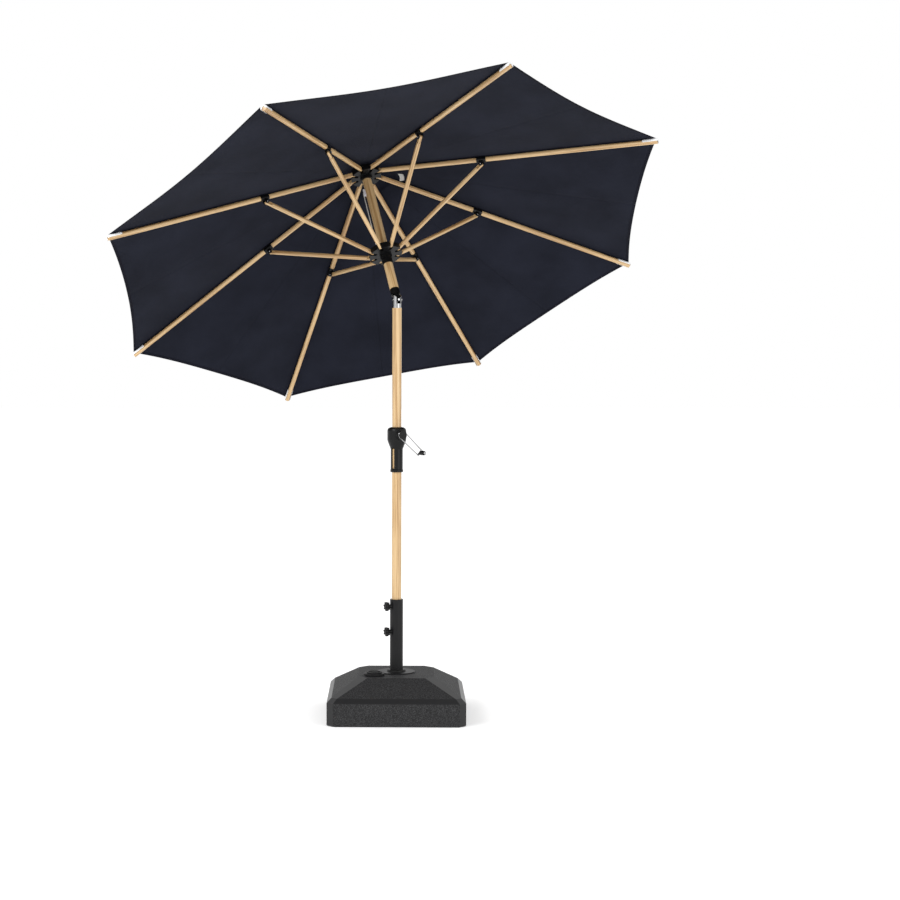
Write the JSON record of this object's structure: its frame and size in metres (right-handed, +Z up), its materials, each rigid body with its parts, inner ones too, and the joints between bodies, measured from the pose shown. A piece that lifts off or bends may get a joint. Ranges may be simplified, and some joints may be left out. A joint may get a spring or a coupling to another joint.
{
  "type": "patio umbrella",
  "caption": "Tilting patio umbrella with ribs under a fabric canopy, a crank lift and a square base that is filled with ballast.",
  "frame": {"origin": "centre of the base's flat underside, on the ground", "axes": "+Z up along the lower pole; -Y towards the viewer of the picture, +X to its right"},
  "size_m": [2.086, 1.945, 2.4544],
  "materials": {
    "tank_plastic": "matte",
    "base_metal": "satin",
    "black_plastic": "satin",
    "pole_wood_look": "satin",
    "bright_metal": "polished",
    "canopy_fabric": "matte",
    "cord": "matte",
    "white_plastic": "satin",
    "ballast": "matte",
    "seal": "matte"
  },
  "bodies": {
    "base": {"base_tank": "tank_plastic", "ballast_fill": "ballast", "cap_seal": "seal", "base_tube": "base_metal", "base_flange": "base_metal", "reducer_sleeve": "black_plastic"},
    "fill_cap": {"fill_cap": "tank_plastic"},
    "upper_knob": {"upper_knob": "tank_plastic"},
    "lower_knob": {"lower_knob": "tank_plastic"},
    "pole": {"pole_plug": "black_plastic", "lower_pole": "pole_wood_look", "crank_housing": "black_plastic", "mid_pole": "pole_wood_look", "tilt_yoke": "bright_metal", "tilt_pins": "bright_metal", "lift_cord_lower": "cord"},
    "crank": {"crank_hub": "black_plastic", "cord_spool": "white_plastic", "cord_winding": "cord", "crank_handle": "bright_metal"},
    "crank_grip": {"crank_grip": "black_plastic"},
    "top": {"tilt_knuckle": "black_plastic", "upper_pole": "pole_wood_look", "top_hub": "black_plastic", "hub_pins": "bright_metal", "pulley_bracket": "white_plastic", "finial": "black_plastic", "vent_cap": "canopy_fabric", "canopy": "canopy_fabric", "lift_cord_upper": "cord", "lift_cord_outer": "cord"},
    "tilt_button": {"tilt_button": "bright_metal"},
    "pulley_wheel": {"pulley_wheel": "white_plastic"},
    "runner": {"runner": "black_plastic", "runner_pins": "bright_metal"},
    "rib_1": {"rib_1": "pole_wood_look", "bracket_1": "black_plastic"},
    "strut_1": {"strut_1": "pole_wood_look"},
    "rib_2": {"rib_2": "pole_wood_look", "bracket_2": "black_plastic"},
    "strut_2": {"strut_2": "pole_wood_look"},
    "rib_3": {"rib_3": "pole_wood_look", "bracket_3": "black_plastic"},
    "strut_3": {"strut_3": "pole_wood_look"},
    "rib_4": {"rib_4": "pole_wood_look", "bracket_4": "black_plastic"},
    "strut_4": {"strut_4": "pole_wood_look"},
    "rib_5": {"rib_5": "pole_wood_look", "bracket_5": "black_plastic"},
    "strut_5": {"strut_5": "pole_wood_look"},
    "rib_6": {"rib_6": "pole_wood_look", "bracket_6": "black_plastic"},
    "strut_6": {"strut_6": "pole_wood_look"},
    "rib_7": {"rib_7": "pole_wood_look", "bracket_7": "black_plastic"},
    "strut_7": {"strut_7": "pole_wood_look"},
    "rib_8": {"rib_8": "pole_wood_look", "bracket_8": "black_plastic"},
    "strut_8": {"strut_8": "pole_wood_look"}
  },
  "joints": [
    {"name": "cap_screw", "type": "hinge", "parent": "base", "child": "fill_cap", "pos_m": [-0.087, -0.087, 0.172], "axis": [0, 0, 1], "continuous": true},
    {"name": "upper_knob_turn", "type": "hinge", "parent": "base", "child": "upper_knob", "pos_m": [-0.03464, -0.02, 0.437], "axis": [-0.866, -0.5, 0], "continuous": true},
    {"name": "lower_knob_turn", "type": "hinge", "parent": "base", "child": "lower_knob", "pos_m": [-0.03464, -0.02, 0.336], "axis": [-0.866, -0.5, 0], "continuous": true},
    {"name": "pole_swivel", "type": "hinge", "parent": "base", "child": "pole", "pos_m": [0, 0, 0.3], "axis": [0, 0, 1], "continuous": true},
    {"name": "crank_turn", "type": "hinge", "parent": "pole", "child": "crank", "pos_m": [0, 0, 1.118], "axis": [0.5, -0.866, 0], "range_deg": [-1, 482]},
    {"name": "grip_spin", "type": "hinge", "parent": "crank", "child": "crank_grip", "pos_m": [0.09951, -0.01183, 1.04573], "axis": [0.5, -0.866, 0], "continuous": true},
    {"name": "tilt", "type": "hinge", "parent": "pole", "child": "top", "pos_m": [0, 0, 1.648], "axis": [-0.9157, -0.4019, 0], "range_deg": [-32, 0]},
    {"name": "button_push", "type": "slide", "parent": "top", "child": "tilt_button", "axis": [-0.4019, 0.9157, 0], "range_m": [0, 0.0035], "stiffness_N_per_m": 300, "springref_m": -0.003},
    {"name": "runner_slide", "type": "slide", "parent": "top", "child": "runner", "axis": [0.213, -0.4852, -0.848], "range_m": [0, 0.11], "deforming": ["lift_cord_outer", "canopy"]},
    {"name": "pulley_turn", "type": "hinge", "parent": "top", "child": "pulley_wheel", "pos_m": [-0.12511, 0.24754, 2.08104], "axis": [0.0123, -0.8666, 0.4989], "range_deg": [-1, 564]},
    {"name": "rib_1_fold", "type": "hinge", "parent": "top", "child": "rib_1", "pos_m": [-0.14665, 0.24718, 2.17724], "axis": [0.9073, -0.2238, 0.356], "range_deg": [-0.2, 8.84]},
    {"name": "strut_1_fold", "type": "hinge", "parent": "runner", "child": "strut_1", "pos_m": [-0.06695, 0.05893, 1.85571], "axis": [-0.9073, 0.2238, -0.356], "range_deg": [-0.2, 7.35]},
    {"name": "rib_2_fold", "type": "hinge", "parent": "top", "child": "rib_2", "pos_m": [-0.10777, 0.25183, 2.18435], "axis": [0.8979, 0.4394, -0.0259], "range_deg": [-0.2, 8.84]},
    {"name": "strut_2_fold", "type": "hinge", "parent": "runner", "child": "strut_2", "pos_m": [-0.02508, 0.06393, 1.86336], "axis": [-0.8979, -0.4394, 0.0259], "range_deg": [-0.2, 7.35]},
    {"name": "rib_3_fold", "type": "hinge", "parent": "top", "child": "rib_3", "pos_m": [-0.08062, 0.2795, 2.17534], "axis": [0.3626, 0.8453, -0.3926], "range_deg": [-0.2, 8.84]},
    {"name": "strut_3_fold", "type": "hinge", "parent": "runner", "child": "strut_3", "pos_m": [0.00416, 0.09373, 1.85366], "axis": [-0.3626, -0.8453, 0.3926], "range_deg": [-0.2, 7.35]},
    {"name": "rib_4_fold", "type": "hinge", "parent": "top", "child": "rib_4", "pos_m": [-0.08111, 0.31399, 2.15548], "axis": [-0.3852, 0.756, -0.5293], "range_deg": [-0.2, 8.84]},
    {"name": "strut_4_fold", "type": "hinge", "parent": "runner", "child": "strut_4", "pos_m": [0.00364, 0.13087, 1.83227], "axis": [0.3852, -0.756, 0.5293], "range_deg": [-0.2, 7.35]},
    {"name": "rib_5_fold", "type": "hinge", "parent": "top", "child": "rib_5", "pos_m": [-0.10895, 0.33509, 2.13642], "axis": [-0.9073, 0.2238, -0.356], "range_deg": [-0.2, 8.84]},
    {"name": "strut_5_fold", "type": "hinge", "parent": "runner", "child": "strut_5", "pos_m": [-0.02634, 0.1536, 1.81174], "axis": [0.9073, -0.2238, 0.356], "range_deg": [-0.2, 7.35]},
    {"name": "rib_6_fold", "type": "hinge", "parent": "top", "child": "rib_6", "pos_m": [-0.14783, 0.33045, 2.12931], "axis": [-0.8979, -0.4394, 0.0259], "range_deg": [-0.2, 8.84]},
    {"name": "strut_6_fold", "type": "hinge", "parent": "runner", "child": "strut_6", "pos_m": [-0.06822, 0.1486, 1.80408], "axis": [0.8979, 0.4394, -0.0259], "range_deg": [-0.2, 7.35]},
    {"name": "rib_7_fold", "type": "hinge", "parent": "top", "child": "rib_7", "pos_m": [-0.17498, 0.30278, 2.13832], "axis": [-0.3626, -0.8453, 0.3926], "range_deg": [-0.2, 8.84]},
    {"name": "strut_7_fold", "type": "hinge", "parent": "runner", "child": "strut_7", "pos_m": [-0.09746, 0.1188, 1.81379], "axis": [0.3626, 0.8453, -0.3926], "range_deg": [-0.2, 7.35]},
    {"name": "rib_8_fold", "type": "hinge", "parent": "top", "child": "rib_8", "pos_m": [-0.17449, 0.26829, 2.15817], "axis": [0.3852, -0.756, 0.5293], "range_deg": [-0.2, 8.84]},
    {"name": "strut_8_fold", "type": "hinge", "parent": "runner", "child": "strut_8", "pos_m": [-0.09693, 0.08166, 1.83517], "axis": [-0.3852, 0.756, -0.5293], "range_deg": [-0.2, 7.35]}
  ],
  "couplings": [
    {"joint": "crank_turn", "follows": "runner_slide", "rad_per_m": 76.336},
    {"joint": "pulley_turn", "follows": "runner_slide", "rad_per_m": 89.286},
    {"joint": "rib_1_fold", "follows": "runner_slide", "rad_per_m": 1.3713},
    {"joint": "strut_1_fold", "follows": "runner_slide", "rad_per_m": 1.1342},
    {"joint": "rib_2_fold", "follows": "runner_slide", "rad_per_m": 1.3713},
    {"joint": "strut_2_fold", "follows": "runner_slide", "rad_per_m": 1.1342},
    {"joint": "rib_3_fold", "follows": "runner_slide", "rad_per_m": 1.3713},
    {"joint": "strut_3_fold", "follows": "runner_slide", "rad_per_m": 1.1342},
    {"joint": "rib_4_fold", "follows": "runner_slide", "rad_per_m": 1.3713},
    {"joint": "strut_4_fold", "follows": "runner_slide", "rad_per_m": 1.1342},
    {"joint": "rib_5_fold", "follows": "runner_slide", "rad_per_m": 1.3713},
    {"joint": "strut_5_fold", "follows": "runner_slide", "rad_per_m": 1.1342},
    {"joint": "rib_6_fold", "follows": "runner_slide", "rad_per_m": 1.3713},
    {"joint": "strut_6_fold", "follows": "runner_slide", "rad_per_m": 1.1342},
    {"joint": "rib_7_fold", "follows": "runner_slide", "rad_per_m": 1.3713},
    {"joint": "strut_7_fold", "follows": "runner_slide", "rad_per_m": 1.1342},
    {"joint": "rib_8_fold", "follows": "runner_slide", "rad_per_m": 1.3713},
    {"joint": "strut_8_fold", "follows": "runner_slide", "rad_per_m": 1.1342}
  ]
}
